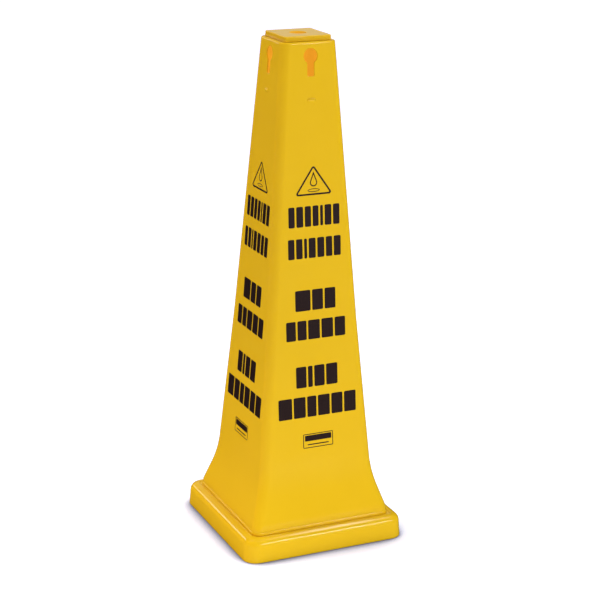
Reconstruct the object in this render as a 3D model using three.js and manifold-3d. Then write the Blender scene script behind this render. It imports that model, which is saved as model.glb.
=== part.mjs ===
// A four-sided floor cone: a tapered shell on a square base frame, closed by a small cap with a hole.
// Millimetres, +Z up. The origin is the middle of the footprint, at floor level.

import * as THREE from "three";
import { mergeVertices } from "three/addons/utils/BufferGeometryUtils.js";
import Module from "manifold-3d";

// Driving dimensions
const BASE_SIDE = 311.2;
const OVERALL_HEIGHT = 914.4;
const WALL = 3;
const GAP = 0.3;

// Base frame
const BASE_HALF = BASE_SIDE / 2;
const BASE_CORNER = 25;
const BASE_DRAFT = 1.6;
const BASE_WALL = 4;
const BASE_BOTTOM_ROUND = 1.5;
const RIM_HEIGHT = 42.4;
const RIM_ROUND = 14;
const UNDERSIDE_BEVEL = 8;
const RIM_FLAT = 2.4;
const LEDGE_HEIGHT = RIM_HEIGHT - 1.2;
const LEDGE_STEP = 1.6;
const OPENING_HALF = 128;
const OPENING_CORNER = 36;
const LIP_BOTTOM = 30;
const WEBS_PER_SIDE = 4;
const WEB_SPACING = 54;

// Shell
const SHELL_CORNER = 16;
const FOOT_HALF = 134.65;
const COLLAR_TOP = 47.6;
const COLLAR_STEP = 1.7;
const FLARE_START = 51;
const FLARE_HALF = 134.1;
const FLARE_ANGLE = THREE.MathUtils.degToRad(18.2);
const FLARE_STRAIGHT = 40.5;
const FLARE_RADIUS = 255;
const LOWER_ANGLE = THREE.MathUtils.degToRad(4.76);
const UPPER_ANGLE = THREE.MathUtils.degToRad(4.08);
const KINK_HEIGHT = 405;
const SHOULDER_HEIGHT = 905;
const SHOULDER_ROUND = 3;

// Keyholes and pips, one of each on every face, the pips a little higher on the left and right faces
const KEYHOLE_CENTRE = 881.5;
const KEYHOLE_RADIUS = 13;
const SLOT_WIDTH = 13;
const SLOT_BOTTOM = 846.8;
const SLOT_ROUND = 3;
const PIP_CENTRE = 806;
const SIDE_PIP_CENTRE = 818;
const PIP_HALF_WIDTH = 8.5;
const PIP_HALF_RISE = 4;
const PIP_HEIGHT = 2.3;

// Cap
const CAP_HALF = 44.3;
const CAP_CORNER = 4;
const CAP_BAND_HEIGHT = 3.4;
const CAP_BAND_STEP = 0.6;
const CAP_EDGE_ROUND = 1.5;
const CAP_HOLE_RADIUS = 15;
const SKIRT_HALF = 38;
const SKIRT_WALL = 2.5;
const SKIRT_BOTTOM = 896;
const HOOK_WIDTH = 20;
const HOOK_REACH = 2;

// Corner screws and their bosses, on the diagonals of the foot
const SCREW_DIAGONAL = 175.6;
const SHANK_RADIUS = 1.7;
const HEAD_RADIUS = 4;
const HEAD_HEIGHT = 2.6;
const SCREW_LENGTH = 14;
const RECESS_DEPTH = 1.4;
const RECESS_WIDTH = 1;
const RECESS_SPAN = 4.4;
const BOSS_RADIUS = 4.5;
const BOSS_TOP = 60;
const BOSS_WEB_WIDTH = 3;
const CLEARANCE_HOLE_RADIUS = 2.2;

// Fineness of the curved stretches
const CORNER_STEPS = 8;
const EDGE_STEPS = 4;
const FLARE_STEPS = 8;
const ROUND_STEPS = 24;
const KEYHOLE_STEPS = 20;
// Each circular arc of an outline is divided into twice the steps asked for.
const ARC_DOUBLING = 2;

const FOOT_BOTTOM = LEDGE_HEIGHT + GAP;
const CAP_BOTTOM = SHOULDER_HEIGHT + GAP;
const LEDGE_UNDERSIDE = LEDGE_HEIGHT - WALL;

const wasm = await Module();
wasm.setup();

// Solids

function solidOf(geometry) {
  const bare = geometry.index ? geometry.toNonIndexed() : geometry.clone();
  bare.deleteAttribute("normal");
  bare.deleteAttribute("uv");
  const merged = mergeVertices(bare, 1e-4);
  return new wasm.Manifold(
    new wasm.Mesh({
      numProp: 3,
      vertProperties: merged.attributes.position.array,
      triVerts: new Uint32Array(merged.index.array),
    }),
  );
}

function geometryOf(solid) {
  const mesh = solid.getMesh();
  const geometry = new THREE.BufferGeometry();
  geometry.setAttribute("position", new THREE.BufferAttribute(new Float32Array(mesh.vertProperties), 3));
  geometry.setIndex(new THREE.BufferAttribute(new Uint32Array(mesh.triVerts), 1));
  geometry.computeVertexNormals();
  return geometry;
}

// A square with round corners, two units to a side beyond its unit corner radius.
function unitRoundedSquare() {
  const shape = new THREE.Shape();
  shape.absarc(1, 1, 1, 0, Math.PI / 2, false);
  shape.absarc(-1, 1, 1, Math.PI / 2, Math.PI, false);
  shape.absarc(-1, -1, 1, Math.PI, 1.5 * Math.PI, false);
  shape.absarc(1, -1, 1, 1.5 * Math.PI, 2 * Math.PI, false);
  shape.closePath();
  return shape;
}

// A solid whose every level is a rounded square: {z, half, corner} from one end cap to the other.
function squareLoft(levels) {
  const steps = levels.length - 1;
  const geometry = new THREE.ExtrudeGeometry(unitRoundedSquare(), {
    depth: steps,
    steps,
    bevelEnabled: false,
    curveSegments: CORNER_STEPS / ARC_DOUBLING,
  });
  const position = geometry.attributes.position;
  for (let i = 0; i < position.count; i++) {
    const { z, half, corner } = levels[Math.round(position.getZ(i))];
    const sideX = Math.sign(position.getX(i));
    const sideY = Math.sign(position.getY(i));
    const arcX = position.getX(i) - sideX;
    const arcY = position.getY(i) - sideY;
    position.setXYZ(i, sideX * (half - corner) + arcX * corner, sideY * (half - corner) + arcY * corner, z);
  }
  return solidOf(geometry);
}

function roundedPrism(half, corner, bottom, top) {
  return squareLoft([
    { z: bottom, half, corner },
    { z: top, half, corner },
  ]);
}

function boxSolid(width, depth, bottom, top, x = 0, y = 0) {
  const geometry = new THREE.BoxGeometry(width, depth, top - bottom);
  geometry.translate(x, y, (top + bottom) / 2);
  return solidOf(geometry);
}

function uprightCylinder(radius, bottom, top) {
  const geometry = new THREE.CylinderGeometry(radius, radius, top - bottom, ROUND_STEPS);
  geometry.rotateX(Math.PI / 2);
  geometry.translate(0, 0, (top + bottom) / 2);
  return solidOf(geometry);
}

// Four copies of a solid, a quarter turn apart about Z.
function onFourSides(solid) {
  let all = solid;
  for (let quarter = 1; quarter < 4; quarter++) {
    all = all.add(solid.rotate([0, 0, 90 * quarter]));
  }
  return all;
}

// Four copies on the diagonals, of a solid made along +X.
function onFourCorners(solid) {
  return onFourSides(solid.rotate([0, 0, 45]));
}

// Quarter-round levels over the top edge of a block, from its side up to its top face.
function topEdgeLevels(half, corner, top, round) {
  const levels = [];
  for (let step = 0; step <= EDGE_STEPS; step++) {
    const angle = (step / EDGE_STEPS) * (Math.PI / 2);
    const inset = round * (1 - Math.cos(angle));
    levels.push({ z: top - round + round * Math.sin(angle), half: half - inset, corner: corner - inset });
  }
  return levels;
}

// Shell

// Outer half-width of the shell at height z: flare, gentle curve, lower taper, upper taper.
function shellHalf(z) {
  const straightEnd = FLARE_START + FLARE_STRAIGHT;
  const curveHeight = FLARE_RADIUS * (Math.sin(FLARE_ANGLE) - Math.sin(LOWER_ANGLE));
  const curveEnd = straightEnd + curveHeight;
  const halfAtStraightEnd = FLARE_HALF - FLARE_STRAIGHT * Math.tan(FLARE_ANGLE);
  const halfAtCurveEnd = halfAtStraightEnd - FLARE_RADIUS * (Math.cos(LOWER_ANGLE) - Math.cos(FLARE_ANGLE));
  if (z <= straightEnd) {
    return FLARE_HALF - (z - FLARE_START) * Math.tan(FLARE_ANGLE);
  }
  if (z <= curveEnd) {
    const sine = Math.sin(LOWER_ANGLE) + (curveEnd - z) / FLARE_RADIUS;
    const cosine = Math.sqrt(1 - sine * sine);
    return halfAtCurveEnd + FLARE_RADIUS * (Math.cos(LOWER_ANGLE) - cosine);
  }
  const lowerRise = Math.min(z, KINK_HEIGHT) - curveEnd;
  const upperRise = Math.max(z - KINK_HEIGHT, 0);
  return halfAtCurveEnd - lowerRise * Math.tan(LOWER_ANGLE) - upperRise * Math.tan(UPPER_ANGLE);
}

// Heights between the collar round the foot and the shoulder's edge where the shell's outline bends.
function shellHeights() {
  const collarTopHalf = FOOT_HALF - COLLAR_STEP;
  const flareStart = FLARE_START + (FLARE_HALF - collarTopHalf) / Math.tan(FLARE_ANGLE);
  const straightEnd = FLARE_START + FLARE_STRAIGHT;
  const curveHeight = FLARE_RADIUS * (Math.sin(FLARE_ANGLE) - Math.sin(LOWER_ANGLE));
  const heights = [flareStart];
  for (let step = 0; step <= FLARE_STEPS; step++) {
    heights.push(straightEnd + (curveHeight * step) / FLARE_STEPS);
  }
  heights.push(KINK_HEIGHT);
  return heights;
}

function shellOutside() {
  const shoulderHalf = shellHalf(SHOULDER_HEIGHT - SHOULDER_ROUND);
  return squareLoft([
    { z: FOOT_BOTTOM, half: FOOT_HALF, corner: SHELL_CORNER },
    ...topEdgeLevels(FOOT_HALF, SHELL_CORNER, COLLAR_TOP, COLLAR_STEP),
    ...shellHeights().map((z) => ({ z, half: shellHalf(z), corner: SHELL_CORNER })),
    ...topEdgeLevels(shoulderHalf, SHELL_CORNER, SHOULDER_HEIGHT, SHOULDER_ROUND),
  ]);
}

function shellInside() {
  const corner = SHELL_CORNER - WALL;
  const top = SHOULDER_HEIGHT - WALL;
  return squareLoft([
    { z: 0, half: FOOT_HALF - WALL, corner },
    { z: COLLAR_TOP - WALL, half: FOOT_HALF - WALL, corner },
    ...shellHeights().map((z) => ({ z, half: shellHalf(z) - WALL, corner })),
    { z: top, half: shellHalf(top) - WALL, corner },
  ]);
}

// A keyhole outline, its circle about the origin and its slot running down -Y.
function keyholeShape() {
  const halfSlot = SLOT_WIDTH / 2;
  const slotAngle = Math.asin(halfSlot / KEYHOLE_RADIUS);
  const bottom = SLOT_BOTTOM - KEYHOLE_CENTRE;
  const shape = new THREE.Shape();
  shape.absarc(0, 0, KEYHOLE_RADIUS, -Math.PI / 2 + slotAngle, 1.5 * Math.PI - slotAngle, false);
  shape.absarc(-halfSlot + SLOT_ROUND, bottom + SLOT_ROUND, SLOT_ROUND, Math.PI, 1.5 * Math.PI, false);
  shape.absarc(halfSlot - SLOT_ROUND, bottom + SLOT_ROUND, SLOT_ROUND, -Math.PI / 2, 0, false);
  shape.closePath();
  return shape;
}

// A cutter for the keyhole in the front face (-Y).
function keyholeCutter() {
  const depth = 4 * WALL;
  const geometry = new THREE.ExtrudeGeometry(keyholeShape(), {
    depth,
    bevelEnabled: false,
    curveSegments: KEYHOLE_STEPS / ARC_DOUBLING,
  });
  geometry.rotateX(Math.PI / 2);
  geometry.translate(0, -shellHalf(KEYHOLE_CENTRE) + depth / 2, KEYHOLE_CENTRE);
  return solidOf(geometry);
}

// A low oval dome on the front face (-Y), its rim just inside the wall.
function pip(centre) {
  const profile = new THREE.Path();
  profile.moveTo(0, -WALL / 2);
  profile.lineTo(PIP_HALF_RISE, -WALL / 2);
  profile.lineTo(PIP_HALF_RISE, PIP_HEIGHT / 4);
  profile.quadraticCurveTo(PIP_HALF_RISE * 0.9, PIP_HEIGHT, PIP_HALF_RISE * 0.4, PIP_HEIGHT);
  profile.lineTo(0, PIP_HEIGHT);
  const geometry = new THREE.LatheGeometry(profile.getPoints(EDGE_STEPS), ROUND_STEPS);
  geometry.scale(PIP_HALF_WIDTH / PIP_HALF_RISE, 1, 1);
  geometry.rotateZ(Math.PI);
  geometry.rotateX(-UPPER_ANGLE);
  geometry.translate(0, -shellHalf(centre), centre);
  return solidOf(geometry);
}

function allPips() {
  const front = pip(PIP_CENTRE);
  const side = pip(SIDE_PIP_CENTRE);
  return front
    .add(front.rotate([0, 0, 180]))
    .add(side.rotate([0, 0, 90]))
    .add(side.rotate([0, 0, -90]));
}

// A screw boss on the +X axis at the screw's distance, with a web out to the corner of the foot.
function screwBoss() {
  const reach = 2 * BOSS_RADIUS;
  const boss = uprightCylinder(BOSS_RADIUS, FOOT_BOTTOM, BOSS_TOP).translate([SCREW_DIAGONAL, 0, 0]);
  const web = boxSolid(2 * reach, BOSS_WEB_WIDTH, FOOT_BOTTOM, BOSS_TOP, SCREW_DIAGONAL + reach);
  return boss.add(web);
}

function coneShell() {
  const outside = shellOutside();
  const bosses = onFourCorners(screwBoss()).intersect(outside);
  const screwTop = LEDGE_UNDERSIDE - GAP + SCREW_LENGTH;
  const pilot = uprightCylinder(SHANK_RADIUS + GAP, 0, screwTop + 1).translate([SCREW_DIAGONAL, 0, 0]);
  const neckBottom = SHOULDER_HEIGHT - 2 * WALL;
  const neck = roundedPrism(SKIRT_HALF + GAP, CAP_CORNER, neckBottom, SHOULDER_HEIGHT + WALL);
  return outside
    .subtract(shellInside())
    .add(allPips())
    .add(bosses)
    .subtract(onFourSides(keyholeCutter()))
    .subtract(neck)
    .subtract(onFourCorners(pilot));
}

// Base frame

function baseOutside() {
  const rimHalf = BASE_HALF - BASE_DRAFT;
  const rimInner = rimHalf - RIM_ROUND - RIM_FLAT;
  const ledgeHalf = rimInner - LEDGE_STEP;
  const cornerAt = (half) => BASE_CORNER - (rimHalf - half);
  return squareLoft([
    { z: 0, half: BASE_HALF - BASE_BOTTOM_ROUND, corner: BASE_CORNER - BASE_BOTTOM_ROUND },
    { z: BASE_BOTTOM_ROUND / 3, half: BASE_HALF - BASE_BOTTOM_ROUND / 3, corner: BASE_CORNER },
    { z: BASE_BOTTOM_ROUND, half: BASE_HALF, corner: BASE_CORNER },
    ...topEdgeLevels(rimHalf, BASE_CORNER, RIM_HEIGHT, RIM_ROUND),
    { z: RIM_HEIGHT, half: rimInner, corner: cornerAt(rimInner) },
    { z: LEDGE_HEIGHT, half: ledgeHalf, corner: cornerAt(ledgeHalf) },
  ]);
}

// The hollow under the rim and ledge, all the way across.
function baseUnderside() {
  const half = BASE_HALF - BASE_WALL;
  const corner = BASE_CORNER - BASE_WALL;
  return squareLoft([
    { z: -1, half, corner },
    { z: RIM_HEIGHT - UNDERSIDE_BEVEL, half: half - BASE_DRAFT, corner },
    { z: LEDGE_UNDERSIDE, half: half - BASE_DRAFT - UNDERSIDE_BEVEL / 2, corner: corner - UNDERSIDE_BEVEL / 2 },
  ]);
}

// Shallow stiffening webs between the skirt and the lip round the opening, on the front side (-Y).
function frontWebs() {
  const depth = BASE_HALF - OPENING_HALF - BASE_WALL;
  let webs = null;
  for (let i = 0; i < WEBS_PER_SIDE; i++) {
    const x = (i - (WEBS_PER_SIDE - 1) / 2) * WEB_SPACING;
    const web = boxSolid(WALL, depth, LIP_BOTTOM, LEDGE_HEIGHT - 1, x, -OPENING_HALF - depth / 2);
    webs = webs ? webs.add(web) : web;
  }
  return webs;
}

function baseFrame() {
  const lip = roundedPrism(OPENING_HALF + WALL, OPENING_CORNER + WALL, LIP_BOTTOM, RIM_HEIGHT);
  const opening = roundedPrism(OPENING_HALF, OPENING_CORNER, -WALL, RIM_HEIGHT + WALL);
  const screwHole = uprightCylinder(CLEARANCE_HOLE_RADIUS, 0, RIM_HEIGHT).translate([SCREW_DIAGONAL, 0, 0]);
  const outside = baseOutside();
  return outside
    .subtract(baseUnderside().subtract(lip))
    .add(onFourSides(frontWebs()).intersect(outside))
    .subtract(opening)
    .subtract(onFourCorners(screwHole));
}

// Cap

// A wedge that snaps under the shoulder, on the front side (-Y).
function snapHook() {
  const profile = new THREE.Shape();
  const root = SKIRT_HALF - SKIRT_WALL / 2;
  const top = SHOULDER_HEIGHT - WALL - GAP;
  profile.moveTo(root, SKIRT_BOTTOM);
  profile.lineTo(SKIRT_HALF, SKIRT_BOTTOM);
  profile.lineTo(SKIRT_HALF + HOOK_REACH, top - HOOK_REACH);
  profile.lineTo(SKIRT_HALF + HOOK_REACH, top);
  profile.lineTo(root, top);
  profile.closePath();
  const geometry = new THREE.ExtrudeGeometry(profile, { depth: HOOK_WIDTH, bevelEnabled: false });
  geometry.rotateX(Math.PI / 2);
  geometry.translate(0, HOOK_WIDTH / 2, 0);
  return solidOf(geometry);
}

function topCap() {
  const underTop = OVERALL_HEIGHT - WALL;
  const plateHalf = CAP_HALF - CAP_BAND_STEP;
  const bandTop = CAP_BOTTOM + CAP_BAND_HEIGHT;
  const block = squareLoft([
    { z: CAP_BOTTOM, half: CAP_HALF, corner: CAP_CORNER },
    { z: bandTop - CAP_BAND_STEP, half: CAP_HALF, corner: CAP_CORNER },
    { z: bandTop, half: plateHalf, corner: CAP_CORNER },
    ...topEdgeLevels(plateHalf, CAP_CORNER, OVERALL_HEIGHT, CAP_EDGE_ROUND),
  ]);
  const cavity = roundedPrism(plateHalf - WALL, CAP_CORNER / 2, CAP_BOTTOM - WALL, underTop);
  const skirt = roundedPrism(SKIRT_HALF, CAP_CORNER, SKIRT_BOTTOM, underTop + WALL / 2);
  const skirtInside = roundedPrism(SKIRT_HALF - SKIRT_WALL, CAP_CORNER / 2, SKIRT_BOTTOM - WALL, underTop);
  return block
    .subtract(cavity)
    .add(skirt)
    .add(onFourSides(snapHook()))
    .subtract(skirtInside)
    .subtract(uprightCylinder(CAP_HOLE_RADIUS, SKIRT_BOTTOM, OVERALL_HEIGHT + WALL));
}

// Screws

// A pan-head screw, its head's upper face at the origin and its shank pointing up.
function screwSolid() {
  const profile = new THREE.Path();
  profile.moveTo(0, -HEAD_HEIGHT);
  profile.lineTo(HEAD_RADIUS * 0.55, -HEAD_HEIGHT);
  profile.quadraticCurveTo(HEAD_RADIUS, -HEAD_HEIGHT, HEAD_RADIUS, -HEAD_HEIGHT * 0.4);
  profile.lineTo(HEAD_RADIUS, 0);
  profile.lineTo(SHANK_RADIUS, 0);
  profile.lineTo(SHANK_RADIUS, SCREW_LENGTH - SHANK_RADIUS);
  profile.lineTo(0, SCREW_LENGTH);
  const geometry = new THREE.LatheGeometry(profile.getPoints(EDGE_STEPS), ROUND_STEPS / 2);
  geometry.rotateX(Math.PI / 2);
  const across = boxSolid(RECESS_SPAN, RECESS_WIDTH, -HEAD_HEIGHT - 1, -HEAD_HEIGHT + RECESS_DEPTH);
  const along = boxSolid(RECESS_WIDTH, RECESS_SPAN, -HEAD_HEIGHT - 1, -HEAD_HEIGHT + RECESS_DEPTH);
  return solidOf(geometry).subtract(across.add(along));
}

// Materials

function moulded(roughness) {
  return new THREE.MeshStandardMaterial({ color: 0xf0c814, roughness, metalness: 0 });
}

function zincSteel() {
  return new THREE.MeshStandardMaterial({ color: 0xb4b6b8, roughness: 0.35, metalness: 1 });
}

function namedMesh(name, solid, material) {
  const mesh = new THREE.Mesh(geometryOf(solid), material);
  mesh.name = name;
  return mesh;
}

// Assembly

const cone = new THREE.Group();
cone.add(namedMesh("cone_shell", coneShell(), moulded(0.3)));
cone.add(namedMesh("base_frame", baseFrame(), moulded(0.35)));
cone.add(namedMesh("top_cap", topCap(), moulded(0.25)));

for (let corner = 0; corner < 4; corner++) {
  const angle = Math.PI / 4 + (corner * Math.PI) / 2;
  const screw = namedMesh(`corner_screw_${corner + 1}`, screwSolid(), zincSteel());
  screw.position.set(
    SCREW_DIAGONAL * Math.cos(angle),
    SCREW_DIAGONAL * Math.sin(angle),
    LEDGE_UNDERSIDE - GAP,
  );
  screw.rotation.z = angle;
  cone.add(screw);
}

export default cone;
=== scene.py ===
import math

import bmesh
import bpy
from mathutils import Matrix, Vector


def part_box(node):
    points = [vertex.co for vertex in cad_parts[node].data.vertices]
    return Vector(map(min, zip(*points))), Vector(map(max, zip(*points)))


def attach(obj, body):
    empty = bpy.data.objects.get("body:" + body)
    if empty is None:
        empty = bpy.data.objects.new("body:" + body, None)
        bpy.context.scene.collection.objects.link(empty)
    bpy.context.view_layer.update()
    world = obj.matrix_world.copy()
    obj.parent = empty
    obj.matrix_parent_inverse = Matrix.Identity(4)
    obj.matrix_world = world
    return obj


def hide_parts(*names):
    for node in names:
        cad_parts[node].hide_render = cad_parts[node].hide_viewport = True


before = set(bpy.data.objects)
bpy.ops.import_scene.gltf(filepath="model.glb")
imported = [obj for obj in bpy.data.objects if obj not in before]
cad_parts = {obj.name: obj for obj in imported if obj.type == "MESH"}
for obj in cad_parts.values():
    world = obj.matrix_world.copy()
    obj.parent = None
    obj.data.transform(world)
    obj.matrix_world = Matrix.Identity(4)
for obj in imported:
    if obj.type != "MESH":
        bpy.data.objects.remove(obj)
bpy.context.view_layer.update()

# Sizes from the CAD model, in metres
SHELL_LOW, SHELL_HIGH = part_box("cone_shell")
BASE_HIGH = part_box("base_frame")[1]
CAP_LOW, CAP_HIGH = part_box("top_cap")
MM = 0.001
WALL = 3 * MM
SIDES = 4
FINE_BEVEL = 0.5 * MM

# Shell: the CAD outline is a flare, a curve, a lower taper and an upper taper
FOOT_HALF = SHELL_HIGH.x
FOOT_BOTTOM = SHELL_LOW.z
SHOULDER_HEIGHT = SHELL_HIGH.z
SHOULDER_ROUND = 3 * MM
SHELL_CORNER = 16 * MM
FOOT_BEVEL = 0.3 * MM
COLLAR_TOP = 47.6 * MM
COLLAR_STEP = 1.7 * MM
FLARE_START = 51 * MM
FLARE_HALF = 134.1 * MM
FLARE_ANGLE = math.radians(18.2)
FLARE_STRAIGHT = 40.5 * MM
FLARE_RADIUS = 255 * MM
LOWER_ANGLE = math.radians(4.76)
UPPER_ANGLE = math.radians(4.08)
KINK_HEIGHT = 405 * MM
NECK_OPENING = 38.3 * MM
NECK_CORNER = 4 * MM
NECK_BEVEL = 0.4 * MM
CEILING_BEVEL_WIDTH = 1 * MM
CEILING_BEVEL_DROP = 0.6 * MM
BOSS_DIAGONAL = 175.6 * MM
BOSS_RADIUS = 4.5 * MM
BOSS_BORE_RADIUS = 2 * MM
BOSS_TOP = 56 * MM

# Keyholes and pips
KEYHOLE_CENTRE = 881.5 * MM
KEYHOLE_RADIUS = 13 * MM
SLOT_HALF = 6.5 * MM
SLOT_BOTTOM = 846.8 * MM
SLOT_ROUND = 3 * MM
KEYHOLE_NECK_ROUND = 2.2 * MM
KEYHOLE_EDGE_ROUND = 0.9 * MM
PIP_CENTRE = 806 * MM
SIDE_PIP_CENTRE = 818 * MM
PIP_HALF_WIDTH = 8.5 * MM
PIP_HALF_RISE = 4 * MM
PIP_HEIGHT = 2.3 * MM
# A pip's dome rises by a power of the way in, and its foot is kept lower than that
PIP_FULLNESS = 2.4
PIP_FOOT_START = 0.25
PIP_FOOT_SLOPE = 4

# Base frame
BASE_HALF = BASE_HIGH.x
RIM_HEIGHT = BASE_HIGH.z
BASE_CORNER = 25 * MM
BASE_DRAFT = 1.6 * MM
BASE_WALL = 4 * MM
BOTTOM_ROUND = 1.5 * MM
RIM_ROUND = 14 * MM
UNDERSIDE_BEVEL = 8 * MM
RIM_FLAT = 2.4 * MM
LIP_ROUND = 0.8 * MM
LEDGE_DROP = 1.2 * MM
LEDGE_STEP = 1.6 * MM
LEDGE_HEIGHT = RIM_HEIGHT - LEDGE_DROP
LEDGE_UNDERSIDE = LEDGE_HEIGHT - WALL
OPENING_HALF = 128 * MM
OPENING_CORNER = 36 * MM
LIP_BOTTOM = 30 * MM
LIP_OUTSIDE = OPENING_HALF + WALL
BASE_INSIDE = BASE_HALF - BASE_WALL
UNDERSIDE_EDGE = BASE_INSIDE - BASE_DRAFT - UNDERSIDE_BEVEL / 2
WEBS_PER_SIDE = 4
WEB_SPACING = 54 * MM
WEB_LOW_HALF = 1.2 * MM
WEB_SINK = 1 * MM
WEB_LOW_SINK = 1.4 * MM

# Cap
CAP_HALF = CAP_HIGH.x
CAP_TOP = CAP_HIGH.z
CAP_CORNER = 4 * MM
CAP_GAP = 0.3 * MM
CAP_BOTTOM = SHOULDER_HEIGHT + CAP_GAP
CAP_CEILING = CAP_TOP - WALL
CAP_BAND_HEIGHT = 3.4 * MM
CAP_BAND_STEP = 0.6 * MM
CAP_PLATE_HALF = CAP_HALF - CAP_BAND_STEP
CAP_EDGE_ROUND = 1.5 * MM
CAP_HOLE_RADIUS = 15 * MM
SKIRT_HALF = 38 * MM
SKIRT_WALL = 2.5 * MM
HOOK_WIDTH = 20 * MM
HOOK_REACH = 2 * MM
HOOK_LOW_REACH = 0.1 * MM

# Fineness
CORNER_STEPS = 16
STRAIGHT_STEPS = 8
FLARE_STRAIGHT_STEPS = 4
FLARE_STEPS = 24
EDGE_STEPS = 6
SMALL_EDGE_STEPS = 5
BAND_STEPS = 4
HOLE_EDGE_STEPS = 3
RIM_STEPS = 18
LEDGE_STEPS = 8
BOSS_STEPS = 24
KEYHOLE_STEPS = 40
PIP_STEPS = 40
PIP_RINGS = 12

# Ink
INK_LIFT = 0.12 * MM
INK_SINK = 0.1 * MM


# Mesh helpers


def finish_mesh(name, bm, materials, body="root", replaced=(), smooth=True):
    """Turns a bmesh into a named piece that rides on its body."""
    bmesh.ops.remove_doubles(bm, verts=bm.verts, dist=1e-6)
    bmesh.ops.recalc_face_normals(bm, faces=bm.faces)
    mesh = bpy.data.meshes.new(name)
    bm.to_mesh(mesh)
    bm.free()
    for polygon in mesh.polygons:
        polygon.use_smooth = smooth
    for material in materials:
        mesh.materials.append(material)
    piece = bpy.data.objects.new(name, mesh)
    bpy.context.scene.collection.objects.link(piece)
    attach(piece, body)
    if replaced:
        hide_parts(*replaced)
    return piece


def depth_inside(point, half, corner):
    """How deep a point is in an upright rounded square, counted up to the corner radius."""
    past_x = max(abs(point.x) - half + corner, 0)
    past_y = max(abs(point.y) - half + corner, 0)
    return corner - math.hypot(past_x, past_y)


def mark_inside(bm, is_inside):
    """Gives the second material to the faces whose middles are inside the hollow."""
    for face in bm.faces:
        if is_inside(face.calc_center_median()):
            face.material_index = 1


def keep_flats_flat(piece, weight=80):
    """Weights normals by face area, so that only the rounded edges shade as round."""
    modifier = piece.modifiers.new("flat_faces", "WEIGHTED_NORMAL")
    modifier.mode = "FACE_AREA"
    modifier.weight = weight
    modifier.keep_sharp = True


def turned(point, side):
    """A point of the front side, turned to another side about Z."""
    return Matrix.Rotation(side * math.pi / 2, 3, "Z") @ Vector(point)


def column_fractions():
    """Places along a side's straight run, from -1 to 1."""
    return [2 * i / STRAIGHT_STEPS - 1 for i in range(STRAIGHT_STEPS + 1)]


def square_ring(z, half, corner):
    """A rounded square at height z: for each side its straight run, then its corner, anticlockwise."""
    points = []
    for side in range(SIDES):
        for fraction in column_fractions():
            points.append(turned((fraction * (half - corner), -half, z), side))
        for step in range(1, CORNER_STEPS):
            angle = (step / CORNER_STEPS - 1) * math.pi / 2
            x = half - corner + corner * math.cos(angle)
            y = corner - half + corner * math.sin(angle)
            points.append(turned((x, y, z), side))
    return points


def round_ring(z, radius, corner_share=0.3):
    """A circle whose points lie in the same directions as those of a square ring."""
    points = []
    for point in square_ring(z, 1, corner_share):
        direction = Vector((point.x, point.y, 0)).normalized()
        points.append(Vector((direction.x * radius, direction.y * radius, z)))
    return points


def add_rings(bm, rings):
    """The rings' points as vertices."""
    return [[bm.verts.new(point) for point in ring] for ring in rings]


def bridge(bm, lower, upper, skip=lambda column: False):
    """Quads between two rings of the same length."""
    count = len(lower)
    for i in range(count):
        j = (i + 1) % count
        if not skip(i):
            bm.faces.new((lower[i], lower[j], upper[j], upper[i]))


def closed_profile(bm, rings):
    """A ring-shaped solid: every ring is joined to the next, and the last to the first."""
    verts = add_rings(bm, rings)
    for i, ring in enumerate(verts):
        bridge(bm, ring, verts[(i + 1) % len(verts)])


def quarter(steps=EDGE_STEPS):
    """Sine and 1 - cosine of a quarter turn, in equal steps from 0."""
    for step in range(steps + 1):
        angle = step / steps * math.pi / 2
        yield math.sin(angle), 1 - math.cos(angle)


def box_faces(bm, corners):
    """A closed box from its eight corners: four round the bottom, then four round the top."""
    v = [bm.verts.new(corner) for corner in corners]
    for face in ((3, 2, 1, 0), (4, 5, 6, 7), (0, 1, 5, 4), (1, 2, 6, 5), (2, 3, 7, 6), (3, 0, 4, 7)):
        bm.faces.new([v[i] for i in face])


# Shell


def shell_half(z):
    """Outer half-width of the shell at height z, as in the CAD model."""
    straight_end = FLARE_START + FLARE_STRAIGHT
    curve_end = straight_end + FLARE_RADIUS * (math.sin(FLARE_ANGLE) - math.sin(LOWER_ANGLE))
    half_at_straight_end = FLARE_HALF - FLARE_STRAIGHT * math.tan(FLARE_ANGLE)
    half_at_curve_end = half_at_straight_end - FLARE_RADIUS * (math.cos(LOWER_ANGLE) - math.cos(FLARE_ANGLE))
    if z <= straight_end:
        return FLARE_HALF - (z - FLARE_START) * math.tan(FLARE_ANGLE)
    if z <= curve_end:
        sine = math.sin(LOWER_ANGLE) + (curve_end - z) / FLARE_RADIUS
        return half_at_curve_end + FLARE_RADIUS * (math.cos(LOWER_ANGLE) - math.sqrt(1 - sine * sine))
    lower_rise = min(z, KINK_HEIGHT) - curve_end
    upper_rise = max(z - KINK_HEIGHT, 0)
    return half_at_curve_end - lower_rise * math.tan(LOWER_ANGLE) - upper_rise * math.tan(UPPER_ANGLE)


def flare_heights():
    """Heights of the rings up the flare and the curve above it."""
    flare_start = FLARE_START + (FLARE_HALF - FOOT_HALF + COLLAR_STEP) / math.tan(FLARE_ANGLE)
    straight_end = FLARE_START + FLARE_STRAIGHT
    curve_height = FLARE_RADIUS * (math.sin(FLARE_ANGLE) - math.sin(LOWER_ANGLE))
    straight_rise = (straight_end - flare_start) / FLARE_STRAIGHT_STEPS
    straight = [flare_start + straight_rise * step for step in range(FLARE_STRAIGHT_STEPS)]
    curve = [straight_end + curve_height * step / FLARE_STEPS for step in range(FLARE_STEPS + 1)]
    return straight + curve


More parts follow.
